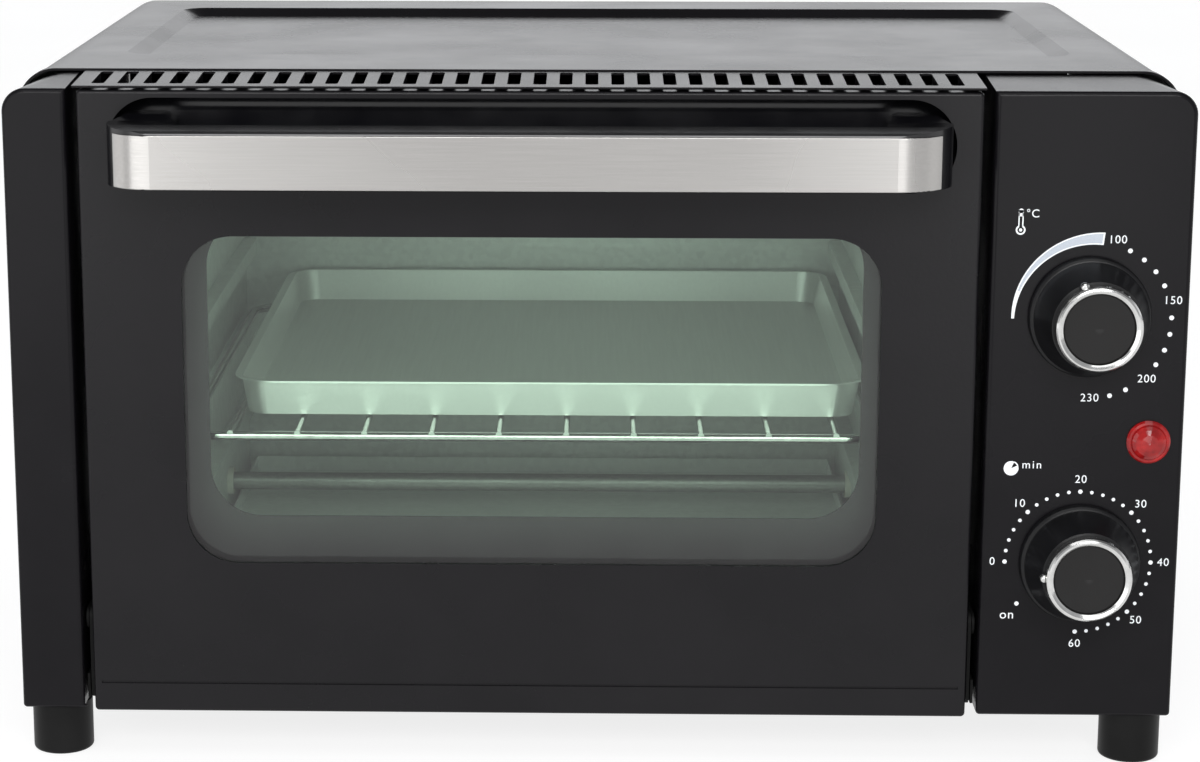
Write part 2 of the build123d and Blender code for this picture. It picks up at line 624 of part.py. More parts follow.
def spring_anchors():
    """Brackets on the base plate that hold the rear ends of the springs."""
    anchors = []
    floor_z = FOOT_HEIGHT + SHEET + GAP
    for side_x, side in HINGE_SIDES:
        x = layer(side_x, side, (-4.0, 8.0))
        post = block(x, (4.5, 5.5), (floor_z, LINK_Z + 5.0))
        foot = block(x, (4.5, 18.0), (floor_z, floor_z + 1.0))
        anchors.append(post + foot)
    return anchors


# ---- oven ----

def heater_holes(x):
    return [rod_x(x, y, z, INSULATOR_RADIUS + 0.05) for y, z in UPPER_HEATERS + LOWER_HEATERS]


def cavity_side(wall_x, side):
    """Side wall of the oven with three pressed runners; side points into the oven."""
    outside = wall_x - side * THIN_SHEET
    wall = block(sorted((outside, wall_x)), CAVITY_Y, grown(CAVITY_Z, -GAP))
    ribs = []
    hollows = []
    for top in RUNNER_TOPS:
        z = (top - RUNNER_HEIGHT, top)
        ribs.append(block(sorted((wall_x, wall_x + side * RUNNER_REACH)), RUNNER_Y, z))
        hollow_x = sorted((outside - side, wall_x + side * (RUNNER_REACH - THIN_SHEET)))
        hollows.append(block(hollow_x, grown(RUNNER_Y, -THIN_SHEET), grown(z, -THIN_SHEET)))
    return wall + ribs - hollows - heater_holes((wall_x - 10, wall_x + 10))


def cavity_back():
    y = (CAVITY_Y[1] + GAP, CAVITY_Y[1] + GAP + THIN_SHEET)
    return block(grown(CAVITY_X, THIN_SHEET), y, grown(CAVITY_Z, THIN_SHEET))


def cavity_plate(z):
    return block(grown(CAVITY_X, THIN_SHEET), CAVITY_Y, z)


def heaters(places):
    """Steel-sheathed tubes with a thin terminal pin at each end."""
    tubes = []
    for y, z in places:
        tube = rod_x((CAVITY_X[0] - 8.0, CAVITY_X[1] + 8.0), y, z, HEATER_RADIUS)
        pin = rod_x((CAVITY_X[0] - 16.0, CAVITY_X[1] + 16.0), y, z, 1.2)
        tubes.append(tube + pin)
    return tubes


def heater_insulators():
    """Flanged ceramic bushes that carry the heaters in the side walls."""
    bushes = []
    for wall_x, side in ((CAVITY_X[0], -1), (CAVITY_X[1], 1)):
        for y, z in UPPER_HEATERS + LOWER_HEATERS:
            body = rod_x(layer(wall_x, side, (-2.0, 5.0)), y, z, INSULATOR_RADIUS)
            flange = rod_x(layer(wall_x, side, (THIN_SHEET + GAP, 3.0)), y, z, INSULATOR_RADIUS + 2)
            bore = rod_x(layer(wall_x, side, (-3.0, 6.0)), y, z, HEATER_RADIUS + 0.05)
            bushes.append(body + flange - bore)
    return bushes


def wire_rack():
    """Wire shelf: a round-cornered frame with straight cross wires welded onto it."""
    left, right = RACK_X
    front, rear = RACK_Y
    corners = [(left, front, RACK_Z), (right, front, RACK_Z), (right, rear, RACK_Z), (left, rear, RACK_Z)]
    path = FilletPolyline(*corners, radius=RACK_CORNER, close=True)
    rack = sweep(Plane(path @ 0, z_dir=path % 0) * Circle(FRAME_WIRE), path)
    wire = rod_y(0, (front - 1.2, rear + 1.2), RACK_Z + 1.1, CROSS_WIRE)
    return rack + slots(CROSS_COUNT, CROSS_PITCH, CROSS_MIDDLE_X, wire)


def pan(x, y, z, flare, corner):
    """Open pan with flared walls, between an upper rim size and its floor."""
    floor = Pos(0, 0, z[0]) * rounded(grown(x, -flare), grown(y, -flare), corner)
    mouth = Pos(0, 0, z[1]) * rounded(x, y, corner + flare / 2)
    return loft([floor, mouth])


def baking_tray():
    """Shallow tray with flared walls and a flat rim."""
    x, y = grown(TRAY_X, -TRAY_RIM), grown(TRAY_Y, -TRAY_RIM)
    flange = Pos(0, 0, TRAY_Z[1] - THIN_SHEET) * extrude(rounded(TRAY_X, TRAY_Y, 14), THIN_SHEET)
    outer = pan(x, y, TRAY_Z, TRAY_FLARE, TRAY_CORNER)
    inner_z = (TRAY_Z[0] + THIN_SHEET, TRAY_Z[1] + THIN_SHEET)
    inner = pan(grown(x, -THIN_SHEET / 2), grown(y, -THIN_SHEET / 2), inner_z, TRAY_FLARE, TRAY_CORNER)
    return flange + outer - inner


def crumb_tray():
    """Thin pull-out tray on the oven floor, with a turned-up grip at the front."""
    box = block(CRUMB_X, CRUMB_Y, CRUMB_Z)
    hollow = block(grown(CRUMB_X, -THIN_SHEET), grown(CRUMB_Y, -THIN_SHEET), (CRUMB_Z[0] + THIN_SHEET, 60))
    grip = block((-50, 8), (CRUMB_Y[0] - 2.5, CRUMB_Y[0] + THIN_SHEET), (CRUMB_Z[1] - THIN_SHEET, CRUMB_Z[1]))
    return box - hollow + grip


# ---- controls ----

def knob(z):
    """Flared hollow knob with a hub for the shaft and a spigot for the ring."""
    shoulder = KNOB_DEPTH - 4.6
    outline = [
        (SHAFT_RADIUS + 0.02, 1.6), (5.5, 1.6), (5.5, 8.0), (11.0, 9.5), (15.8, 3.8), (17.2, 0.5),
        (KNOB_RADIUS, 0.5), (KNOB_RADIUS, 1.9), (18.5, 2.7), (17.9, 3.2), (17.2, 3.4), (17.2, 3.9),
        (17.7, 4.3), (17.7, 5.0), (17.2, 6.6), (16.5, 8.6), (15.6, 11.2), (14.8, 13.6),
        (KNOB_TOP_RADIUS, shoulder), (RING_BORE - 0.05, shoulder), (RING_BORE - 0.05, KNOB_DEPTH - 2.2),
        (0, KNOB_DEPTH - 2.2), (0, 12.5), (SHAFT_RADIUS + 0.02, 12.5),
    ]
    return Pos(CONTROL_X, 0, z) * turned(outline, FRONT_Y)


def knob_ring(z, pointer):
    """Chrome ring with the small index bead on its side."""
    back = KNOB_DEPTH - 4.5
    outline = [
        (RING_BORE, back), (RING_RADIUS, back), (RING_RADIUS + 0.15, KNOB_DEPTH - 1.6),
        (RING_RADIUS - 0.05, KNOB_DEPTH - 0.7), (RING_RADIUS - 0.5, KNOB_DEPTH - 0.15),
        (RING_RADIUS - 1.0, KNOB_DEPTH), (RING_BORE + 0.6, KNOB_DEPTH - 0.35),
        (RING_BORE + 0.15, KNOB_DEPTH - 0.7), (RING_BORE, KNOB_DEPTH - 1.3),
    ]
    angle = radians(pointer)
    reach = RING_RADIUS + 0.4
    bead = Pos(reach * sin(angle), FRONT_Y - KNOB_DEPTH + 2.8, reach * cos(angle)) * Sphere(BEAD_RADIUS)
    return Pos(CONTROL_X, 0, z) * (turned(outline, FRONT_Y) + bead)


def knob_cap(z):
    """Slightly dished cap let into the ring."""
    rim = RING_BORE - 0.05
    back = KNOB_DEPTH - 2.15
    outline = [
        (0, back), (rim, back), (rim, KNOB_DEPTH - 1.5), (rim - 0.4, KNOB_DEPTH - 1.2), (0, KNOB_DEPTH - 1.4),
    ]
    return Pos(CONTROL_X, 0, z) * turned(outline, FRONT_Y)


def shaft(z):
    """Round shaft with a flat at the knob's end."""
    solid = rod_y(CONTROL_X, (FRONT_Y - 12.4, -98.0), z, SHAFT_RADIUS)
    flat = block((CONTROL_X - 4, CONTROL_X + 4), (FRONT_Y - 13, FRONT_Y - 4), (z + 2.2, z + 4))
    return solid - flat


def control_body(z, radius, back_y):
    """Round housing of a control, screwed behind the panel, bored for its shaft."""
    can = rod_y(CONTROL_X, (BODY_Y, back_y), z, radius)
    can = chamfer(can.edges().group_by(Axis.Y)[-1], 1.5)
    bore = rod_y(CONTROL_X, (BODY_Y - 1, -96.0), z, SHAFT_RADIUS + RUNNING_FIT)
    near = [(x, screw_z) for x, screw_z in control_screw_points() if screw_z == z]
    pilots = [rod_y(x, (BODY_Y - 1, BODY_Y + 6), screw_z, CASE_SCREW + RUNNING_FIT) for x, screw_z in near]
    return can - bore - pilots


def thermostat_body():
    body = control_body(TEMPERATURE_Z, 17.0, -90.0)
    terminals = [block((CONTROL_X + x - 3, CONTROL_X + x + 3), (-91, -82), (151.5, 152.3)) for x in (-8, 8)]
    return body + terminals


def timer_body():
    body = control_body(TIMER_Z, 21.0, -80.0)
    terminals = [block((CONTROL_X + x - 3, CONTROL_X + x + 3), (-81, -72), (82.5, 83.3)) for x in (-6, 6)]
    post = rod_y(CONTROL_X, (-81.0, -66.0), TIMER_Z, 1.5)
    return body + terminals + post


def timer_bell():
    """Domed gong on the post behind the timer."""
    outline = [(1.6, 0), (6, 0.4), (12, 2.6), (15, 6.2), (14.4, 6.4), (11.6, 3.4), (6, 1.2), (1.6, 0.8)]
    return Pos(CONTROL_X, 0, TIMER_Z) * turned(outline, -68.0)


def control_screws():
    points = control_screw_points()
    return [pan_screw((x, FRONT_Y, z), (0, -1, 0), CASE_SCREW, 6.0) for x, z in points]


def indicator_lens():
    """Domed lens with a rim, pushed into the panel."""
    outline = [
        (0, -9.0), (LAMP_HOLE - 0.1, -9.0), (LAMP_HOLE - 0.1, 0.05), (LAMP_RADIUS, 0.05), (LAMP_RADIUS, 0.7),
        (6.3, 1.2), (5.6, 1.3), (5.2, 2.0), (4.2, 2.7), (2.6, 3.2), (0, 3.4),
    ]
    return Pos(LAMP_X, 0, LAMP_Z) * turned(outline, FRONT_Y)


def lamp_body():
    can = rod_y(LAMP_X, (FRONT_Y + 9.1, FRONT_Y + 24.0), LAMP_Z, LAMP_HOLE - 0.2)
    leads = [rod_y(LAMP_X, (FRONT_Y + 24.0, FRONT_Y + 30.0), LAMP_Z + side * 2.4, 0.6) for side in (-1, 1)]
    return can + leads


def terminal_block():
    floor_z = FOOT_HEIGHT + SHEET + GAP
    body = block((128, 172), (92, 110), (floor_z, floor_z + 16))
    well_z = (floor_z + 10, floor_z + 20)
    wells = [rod_z(134 + 8 * i, y, well_z, 2.6) for i in range(5) for y in (96.5, 105.5)]
    return body - wells


def cord_gland():
    """Bush in the rear panel; its bore takes the mains lead."""
    x, z = GLAND
    neck = rod_y(x, (REAR_PANEL_Y[0] - 3.0, REAR_PANEL_Y[1] + 2.6), z, GLAND_RADIUS)
    outer = rod_y(x, (REAR_PANEL_Y[1] + 0.05, REAR_PANEL_Y[1] + 2.6), z, GLAND_RADIUS + 2.5)
    inner = rod_y(x, (REAR_PANEL_Y[0] - 3.0, REAR_PANEL_Y[0] - 0.05), z, GLAND_RADIUS + 1.2)
    outer = fillet(outer.faces().sort_by(Axis.Y)[-1].edges(), 1.0)
    return neck + outer + inner - rod_y(x, (120, 150), z, GLAND_BORE)


# ---- feet and screws ----

def foot(x, y):
    """Moulded foot with a counterbored screw hole."""
    body = rod_z(x, y, (0, FOOT_HEIGHT - GAP), FOOT_RADIUS)
    body = fillet(body.edges().group_by(Axis.Z)[0], 1.2)
    recess = rod_z(x, y, (-1, FOOT_SEAT_Z), 5.0)
    return body - recess - rod_z(x, y, (FOOT_SEAT_Z - 1, FOOT_HEIGHT + 1), FOOT_SCREW + RUNNING_FIT)


def foot_screws():
    points = FRONT_FEET + REAR_FEET
    return [pan_screw((x, y, FOOT_SEAT_Z), (0, 0, -1), FOOT_SCREW, 9.5) for x, y in points]


def rear_screws():
    y = REAR_PANEL_Y[1]
    return [pan_screw((x, y, z), (0, 1, 0), CASE_SCREW, 4.0) for x in CASE_SCREW_XS for z in CASE_SCREW_ZS]


# ---- the assembly ----

PARTS = {
    "outer_cover": outer_cover(),
    "rear_panel": rear_panel(),
    "base_plate": base_plate(),
    "front_frame": front_frame(),
    "left_pillar": left_pillar(),
    "control_panel": control_panel(),
    "vent_lintel": vent_lintel(),
    "door_skin": door_skin(),
    "door_inner_frame": door_inner_frame(),
    "door_glass": door_glass(),
    "glass_clips": glass_clips(),
    "handle": handle(),
    "handle_screws": handle_screws(),
    "handle_strip": handle_strip(),
    "hinge_straps": hinge_straps(),
    "hinge_pins": hinge_pins(HINGE_Z, PIN_RADIUS),
    "link_rivets": hinge_pins(LINK_Z, RIVET_RADIUS),
    "hinge_bracket_left": hinge_bracket(*HINGE_SIDES[0]),
    "hinge_bracket_right": hinge_bracket(*HINGE_SIDES[1]),
    "bracket_screws": bracket_screws(),
    "hinge_link_left": hinge_link(*HINGE_SIDES[0]),
    "hinge_link_right": hinge_link(*HINGE_SIDES[1]),
    "hinge_springs": hinge_springs(),
    "spring_anchors": spring_anchors(),
    "cavity_side_left": cavity_side(CAVITY_X[0], 1),
    "cavity_side_right": cavity_side(CAVITY_X[1], -1),
    "cavity_back": cavity_back(),
    "cavity_roof": cavity_plate((CAVITY_Z[1], CAVITY_Z[1] + THIN_SHEET)),
    "cavity_floor": cavity_plate((CAVITY_Z[0] - THIN_SHEET, CAVITY_Z[0])),
    "upper_heaters": heaters(UPPER_HEATERS),
    "lower_heaters": heaters(LOWER_HEATERS),
    "heater_insulators": heater_insulators(),
    "wire_rack": wire_rack(),
    "baking_tray": baking_tray(),
    "crumb_tray": crumb_tray(),
    "temperature_knob": knob(TEMPERATURE_Z),
    "temperature_knob_ring": knob_ring(TEMPERATURE_Z, TEMPERATURE_POINTER),
    "temperature_knob_cap": knob_cap(TEMPERATURE_Z),
    "temperature_shaft": shaft(TEMPERATURE_Z),
    "timer_knob": knob(TIMER_Z),
    "timer_knob_ring": knob_ring(TIMER_Z, TIMER_POINTER),
    "timer_knob_cap": knob_cap(TIMER_Z),
    "timer_shaft": shaft(TIMER_Z),
    "thermostat_body": thermostat_body(),
    "timer_body": timer_body(),
    "timer_bell": timer_bell(),
    "control_screws": control_screws(),
    "indicator_lens": indicator_lens(),
    "indicator_lamp": lamp_body(),
    "terminal_block": terminal_block(),
    "cord_gland": cord_gland(),
    "foot_front_left": foot(*FRONT_FEET[0]),
    "foot_front_right": foot(*FRONT_FEET[1]),
    "foot_rear_left": foot(*REAR_FEET[0]),
    "foot_rear_right": foot(*REAR_FEET[1]),
    "foot_screws": foot_screws(),
    "rear_screws": rear_screws(),
}

os.makedirs("parts", exist_ok=True)
for name, shape in PARTS.items():
    solid = Compound(children=shape) if isinstance(shape, list) else shape
    export_step(solid, f"parts/{name}.step")
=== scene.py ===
import json
from math import cos, pi, radians, sin

import bmesh
import bpy
from mathutils import Matrix, Vector


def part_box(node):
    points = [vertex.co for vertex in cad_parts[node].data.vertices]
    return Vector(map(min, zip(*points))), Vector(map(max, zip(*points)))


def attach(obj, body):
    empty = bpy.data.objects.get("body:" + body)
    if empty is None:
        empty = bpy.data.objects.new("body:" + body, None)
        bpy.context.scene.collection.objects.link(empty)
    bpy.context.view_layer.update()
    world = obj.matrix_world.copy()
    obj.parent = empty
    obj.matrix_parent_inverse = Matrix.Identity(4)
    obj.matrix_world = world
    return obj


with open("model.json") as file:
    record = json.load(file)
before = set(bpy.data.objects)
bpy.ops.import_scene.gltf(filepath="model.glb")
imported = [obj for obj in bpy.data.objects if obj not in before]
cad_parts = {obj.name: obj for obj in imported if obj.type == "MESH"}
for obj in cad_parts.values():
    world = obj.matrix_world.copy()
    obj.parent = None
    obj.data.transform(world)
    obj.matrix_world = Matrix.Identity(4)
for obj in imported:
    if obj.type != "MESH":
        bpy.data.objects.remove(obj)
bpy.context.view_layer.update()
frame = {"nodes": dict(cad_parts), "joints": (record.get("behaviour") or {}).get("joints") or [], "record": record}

MM = 0.001
INK_THICKNESS = 0.03 * MM
nodes = frame["nodes"]
scene = bpy.context.scene


# ---------------------------------------------------------------- node materials

def new_material(name):
    """Empty node material with a Principled shader; returns material, tree and shader."""
    material = bpy.data.materials.new(name)
    material.use_nodes = True
    tree = material.node_tree
    return material, tree, tree.nodes["Principled BSDF"]


def add_node(tree, kind, **values):
    """Node with properties set by attribute name and inputs by socket name."""
    node = tree.nodes.new(kind)
    for key, value in values.items():
        if hasattr(node, key):
            setattr(node, key, value)
        else:
            node.inputs[key.replace("_", " ")].default_value = value
    return node


def object_space(tree, stretch=(1, 1, 1)):
    """Object coordinates, in metres, stretched per axis for directional patterns."""
    coords = add_node(tree, "ShaderNodeTexCoord")
    mapping = add_node(tree, "ShaderNodeMapping")
    mapping.inputs["Scale"].default_value = stretch
    tree.links.new(coords.outputs["Object"], mapping.inputs["Vector"])
    return mapping.outputs["Vector"]


def noise(tree, vector, scale, detail=3.0, rough=0.55):
    node = add_node(tree, "ShaderNodeTexNoise", Scale=scale, Detail=detail, Roughness=rough)
    tree.links.new(vector, node.inputs["Vector"])
    return node.outputs["Fac"]


def remap(tree, value, low, high, source=(0.3, 0.7)):
    node = add_node(tree, "ShaderNodeMapRange")
    node.inputs["From Min"].default_value = source[0]
    node.inputs["From Max"].default_value = source[1]
    node.inputs["To Min"].default_value = low
    node.inputs["To Max"].default_value = high
    tree.links.new(value, node.inputs["Value"])
    return node.outputs["Result"]


def mix_colour(tree, factor, first, second):
    node = add_node(tree, "ShaderNodeMix", data_type="RGBA")
    node.inputs[6].default_value = (*first, 1)
    node.inputs[7].default_value = (*second, 1)
    tree.links.new(factor, node.inputs[0])
    return node.outputs[2]


def bump(tree, shader, height, strength, distance, chain=None):
    node = add_node(tree, "ShaderNodeBump", Strength=strength, Distance=distance)
    tree.links.new(height, node.inputs["Height"])
    if chain is not None:
        tree.links.new(chain, node.inputs["Normal"])
    tree.links.new(node.outputs["Normal"], shader.inputs["Normal"])
    return node.outputs["Normal"]


def enamel(name, dark, light, rough, level):
    """Stoved black paint: fine orange peel, faint cloudiness, a little dust in the sheen."""
    material, tree, shader = new_material(name)
    space = object_space(tree)
    clouds = noise(tree, space, 22.0, 4.0)
    peel = noise(tree, space, 900.0, 2.0)
    specks = noise(tree, space, 2600.0, 1.0)
    tree.links.new(mix_colour(tree, remap(tree, clouds, 0, 1), dark, light), shader.inputs["Base Color"])
    tree.links.new(remap(tree, clouds, rough - 0.03, rough + 0.03), shader.inputs["Roughness"])
    first = bump(tree, shader, peel, 0.12, 0.0002)
    bump(tree, shader, specks, 0.10, 0.00008, first)
    shader.inputs["Specular IOR Level"].default_value = level
    return material


def moulded(name, dark, light, rough, grain=1400.0, depth=0.00006, strength=0.3, level=0.5):
    """Moulded plastic with a fine spark-eroded grain."""
    material, tree, shader = new_material(name)
    space = object_space(tree)
    clouds = noise(tree, space, 60.0, 3.0)
    tree.links.new(mix_colour(tree, remap(tree, clouds, 0, 1), dark, light), shader.inputs["Base Color"])
    tree.links.new(remap(tree, clouds, rough - 0.04, rough + 0.04), shader.inputs["Roughness"])
    bump(tree, shader, noise(tree, space, grain, 2.0), strength, depth)
    shader.inputs["Specular IOR Level"].default_value = level
    return material


def brushed(name, dark, light, rough, stretch, strength=0.25):
    """Metal with fine drawn lines along one direction."""
    material, tree, shader = new_material(name)
    lines = noise(tree, object_space(tree, stretch), 1.0, 4.0, 0.7)
    broad = noise(tree, object_space(tree), 14.0, 2.0)
    share = remap(tree, lines, 0, 1, (0.25, 0.75))
    tree.links.new(mix_colour(tree, share, dark, light), shader.inputs["Base Color"])
    tree.links.new(remap(tree, broad, rough - 0.03, rough + 0.05), shader.inputs["Roughness"])
    bump(tree, shader, lines, strength, 0.00004)
    shader.inputs["Metallic"].default_value = 1.0
    return material


def plated(name, dark, light, rough):
    """Bright plating with faint handling marks."""
    material, tree, shader = new_material(name)
    space = object_space(tree)
    marks = noise(tree, space, 300.0, 4.0)
    tree.links.new(mix_colour(tree, remap(tree, marks, 0, 1), dark, light), shader.inputs["Base Color"])
    tree.links.new(remap(tree, marks, rough, rough + 0.08), shader.inputs["Roughness"])
    bump(tree, shader, noise(tree, space, 700.0, 2.0), 0.06, 0.00003)
    shader.inputs["Metallic"].default_value = 1.0
    return material


def spangled(name, dark, light, rough):
    """Aluminised sheet: dull crystal pattern and rolling lines."""
    material, tree, shader = new_material(name)
    space = object_space(tree)
    cells = add_node(tree, "ShaderNodeTexVoronoi", Scale=480.0)
    tree.links.new(space, cells.inputs["Vector"])
    grey = add_node(tree, "ShaderNodeRGBToBW")
    tree.links.new(cells.outputs["Color"], grey.inputs["Color"])
    rolled = noise(tree, object_space(tree, (8, 400, 400)), 1.0, 3.0)
    mixed = add_node(tree, "ShaderNodeMath", operation="MULTIPLY")
    tree.links.new(grey.outputs["Val"], mixed.inputs[0])
    tree.links.new(rolled, mixed.inputs[1])
    level = remap(tree, mixed.outputs["Value"], 0, 1, (0.05, 0.45))
    tree.links.new(mix_colour(tree, level, dark, light), shader.inputs["Base Color"])
    tree.links.new(remap(tree, rolled, rough - 0.05, rough + 0.06), shader.inputs["Roughness"])
    bump(tree, shader, rolled, 0.1, 0.00005)
    shader.inputs["Metallic"].default_value = 0.35
    return material


def tinted_pane(name):
    """Thin tinted pane: see-through, with a clear reflection that grows at grazing angles."""
    material, tree, shader = new_material(name)
    tree.nodes.remove(shader)
    facing = add_node(tree, "ShaderNodeLayerWeight", Blend=0.5)
    power = add_node(tree, "ShaderNodeMath", operation="POWER")
    power.inputs[1].default_value = 5.0
    tree.links.new(facing.outputs["Facing"], power.inputs[0])
    share = remap(tree, power.outputs["Value"], 0.028, 1.0, (0, 1))
    clear = add_node(tree, "ShaderNodeBsdfTransparent")
    clear.inputs["Color"].default_value = (0.898, 0.975, 0.919, 1)
    gloss = add_node(tree, "ShaderNodeBsdfGlossy", Roughness=0.02)
    gloss.inputs["Color"].default_value = (1.0, 0.93, 0.985, 1)
    ripple = add_node(tree, "ShaderNodeBump", Strength=0.05, Distance=0.0001)
    tree.links.new(noise(tree, object_space(tree), 25.0, 1.0), ripple.inputs["Height"])
    tree.links.new(ripple.outputs["Normal"], gloss.inputs["Normal"])
    mixer = add_node(tree, "ShaderNodeMixShader")
    tree.links.new(share, mixer.inputs[0])
    tree.links.new(clear.outputs[0], mixer.inputs[1])
    tree.links.new(gloss.outputs[0], mixer.inputs[2])
    tree.links.new(mixer.outputs[0], tree.nodes["Material Output"].inputs["Surface"])
    return material


def lens(name, dark, light):
    """Glossy moulding with uneven depth of colour."""
    material, tree, shader = new_material(name)
    space = object_space(tree)
    depth = noise(tree, space, 180.0, 2.0)
    tree.links.new(mix_colour(tree, remap(tree, depth, 0, 1), dark, light), shader.inputs["Base Color"])
    shader.inputs["Roughness"].default_value = 0.06
    shader.inputs["Specular IOR Level"].default_value = 0.4
    bump(tree, shader, depth, 0.05, 0.0001)
    return material


def ink(name, dark, light):
    """Screen-printed ink with the slight mottle of its mesh."""
    material, tree, shader = new_material(name)
    grain = noise(tree, object_space(tree), 3000.0, 2.0)
    tree.links.new(mix_colour(tree, remap(tree, grain, 0, 1), dark, light), shader.inputs["Base Color"])
    shader.inputs["Roughness"].default_value = 0.55
    bump(tree, shader, grain, 0.1, 0.00002)
    return material


def greys(dark, light):
    return (dark, dark, dark), (light, light, light)


PAINT = (0.0042, 0.0038, 0.0048), (0.0065, 0.006, 0.0072)
RECIPES = {
    "housing_paint": (enamel, PAINT, dict(rough=0.26, level=0.13)),
    "door_paint": (enamel, PAINT, dict(rough=0.28, level=0.2)),
    "door_back": (moulded, ((0.0155, 0.0108, 0.0145), (0.0215, 0.0152, 0.02)),
                  dict(rough=0.45, grain=900.0, depth=0.00003, strength=0.1)),
    "window_glass": (tinted_pane, (), {}),
    "handle_plastic": (moulded, ((0.003, 0.003, 0.004), (0.005, 0.005, 0.006)),
                       dict(rough=0.22, grain=900.0, depth=0.00003, strength=0.1)),
    "handle_steel": (brushed, ((0.385, 0.375, 0.364), (0.44, 0.43, 0.418)),
                     dict(rough=0.26, stretch=(30, 900, 2600), strength=0.12)),
    "knob_plastic": (moulded, ((0.003, 0.003, 0.0035), (0.005, 0.005, 0.006)),
                     dict(rough=0.38, level=0.28)),
    "knob_chrome": (plated, ((0.58, 0.58, 0.57), (0.7, 0.7, 0.69)), dict(rough=0.09)),
    "knob_cap": (moulded, ((0.006, 0.0056, 0.0056), (0.009, 0.0086, 0.0086)),
                 dict(rough=0.55, grain=1800.0, depth=0.00008, strength=0.5, level=0.25)),
    "lens_red": (lens, ((0.13, 0.001, 0.002), (0.36, 0.01, 0.01)), {}),
    "cavity_steel": (spangled, ((0.74, 0.75, 0.74), (0.82, 0.83, 0.82)), dict(rough=0.45)),
    "tray_metal": (brushed, ((0.86, 0.86, 0.85), (0.93, 0.93, 0.92)),
                   dict(rough=0.44, stretch=(900, 30, 900), strength=0.1)),
    "crumb_metal": (spangled, ((0.84, 0.85, 0.84), (0.9, 0.91, 0.9)), dict(rough=0.55)),
    "rack_wire": (plated, ((0.5, 0.5, 0.49), (0.66, 0.66, 0.65)), dict(rough=0.18)),
    "heater_sheath": (brushed, ((0.34, 0.34, 0.335), (0.46, 0.46, 0.45)),
                      dict(rough=0.45, stretch=(400, 900, 900))),
    "ceramic": (moulded, ((0.74, 0.71, 0.64), (0.84, 0.82, 0.76)),
                dict(rough=0.6, grain=700.0, depth=0.0001, strength=0.4)),
    "hinge_steel": (moulded, greys(0.005, 0.009),
                    dict(rough=0.6, grain=1200.0, depth=0.00005, strength=0.3, level=0.12)),
    "zinc": (plated, ((0.46, 0.46, 0.44), (0.62, 0.62, 0.6)), dict(rough=0.25)),
    "control_body": (moulded, ((0.03, 0.024, 0.02), (0.05, 0.042, 0.036)), dict(rough=0.5)),
    "terminal_plastic": (moulded, ((0.6, 0.58, 0.52), (0.7, 0.68, 0.62)), dict(rough=0.5)),
    "gland_plastic": (moulded, greys(0.01, 0.016), dict(rough=0.45)),
    "foot_plastic": (moulded, greys(0.003, 0.006), dict(rough=0.45, level=0.15)),
    "print_ink": (ink, ((0.74, 0.77, 0.8), (0.9, 0.92, 0.94)), {}),
    "print_grey_ink": (ink, ((0.42, 0.46, 0.52), (0.5, 0.54, 0.6)), {}),
}
MATERIALS = {name: recipe(name, *colours, **values) for name, (recipe, colours, values) in RECIPES.items()}


def dress_cad_nodes():
    """Give each CAD node the material of its slot."""
    slot_of = {part["node"]: part["material_slot"] for part in frame["record"]["subparts"]}
    for name, item in nodes.items():
        item.data.materials.clear()
        item.data.materials.append(MATERIALS[slot_of[name]])


# ---------------------------------------------------------------- dial prints

PANEL_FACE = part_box("control_panel")[0].y
JOINT_AT = {joint["name"]: joint.get("pos_m") for joint in frame["joints"]}
TEMPERATURE = JOINT_AT["temperature_turn"]
TIMER = JOINT_AT["timer_turn"]
TEMPERATURE_SCALE = (TEMPERATURE[0] + 0.8 * MM, 0, TEMPERATURE[2] - 1.4 * MM)
TIMER_SCALE = (TIMER[0] - 0.5 * MM, 0, TIMER[2])
TEMPERATURE_RADIUS = 24.5 * MM
TIMER_RADIUS = 22.8 * MM
WEDGE_RADIUS = 23.85 * MM
ON_ANGLE = 233.6
LETTER_HEIGHT = 2.5 * MM
THERMOMETER_AT = (129.8 * MM, 172.8 * MM)
CLOCK_AT = (129.5 * MM, 0, 97.5 * MM)
INK_Y = PANEL_FACE - 0.5 * INK_THICKNESS


def at_clock(centre, radius, degrees):
    """Point on the panel, radius away from centre, degrees clockwise from twelve."""
    angle = radians(degrees)
    return Vector((centre[0] + radius * sin(angle), INK_Y, centre[2] + radius * cos(angle)))


def finish_piece(item, body, material):
    item.data.materials.clear()
    item.data.materials.append(material)
    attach(item, body)


def mesh_object(name, mesh_builder):
    """Mesh piece from a bmesh that its recipe is given."""
    work = bmesh.new()
    mesh_builder(work)
    mesh = bpy.data.meshes.new(name)
    work.to_mesh(mesh)
    work.free()
    item = bpy.data.objects.new(name, mesh)
    scene.collection.objects.link(item)
    return item


def add_dot(work, centre, radius):
    turn = Matrix.Translation(centre) @ Matrix.Rotation(pi / 2, 4, "X")
    bmesh.ops.create_cone(work, cap_ends=True, segments=20, radius1=radius, radius2=radius,
                          depth=INK_THICKNESS, matrix=turn)


